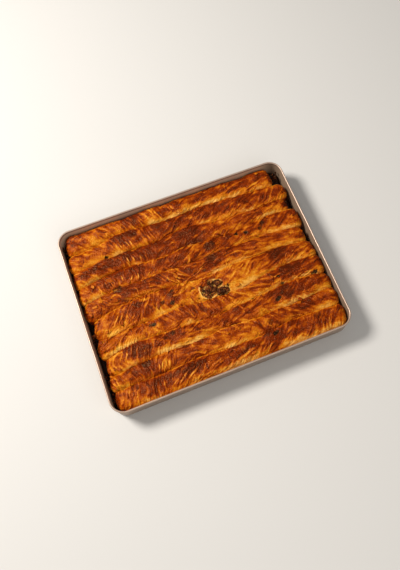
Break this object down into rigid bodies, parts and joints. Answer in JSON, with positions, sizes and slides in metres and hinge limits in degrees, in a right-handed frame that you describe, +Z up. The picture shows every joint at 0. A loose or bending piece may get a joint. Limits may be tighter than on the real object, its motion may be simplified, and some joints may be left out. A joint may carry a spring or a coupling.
{
  "type": "meat borek in a baking pan",
  "caption": "Rectangular aluminium baking pan filled with long browned pastry rolls lying side by side, marked in the middle with a pinch of minced meat.",
  "frame": {"origin": "middle of the pan's underside, on the surface it stands on", "axes": "+X along the rolls and the pan's long side, +Y towards the first roll, +Z up out of the pan"},
  "size_m": [0.4, 0.32, 0.042],
  "materials": {
    "pan": "plain pressed sheet with a satin finish, lightly worn from use",
    "pastry": "baked filo-like dough, buttery and flaky, golden in the grooves and dark brown on the crowns",
    "meat": "browned minced meat, coarse, slightly greasy"
  },
  "bodies": {
    "root": {"pan": "pan", "roll_01": "pastry", "roll_02": "pastry", "roll_03": "pastry", "roll_04": "pastry", "roll_05": "pastry", "roll_06": "pastry", "roll_07": "pastry", "roll_08": "pastry", "roll_09": "pastry", "roll_10": "pastry", "meat_mark": "meat"}
  },
  "joints": []
}
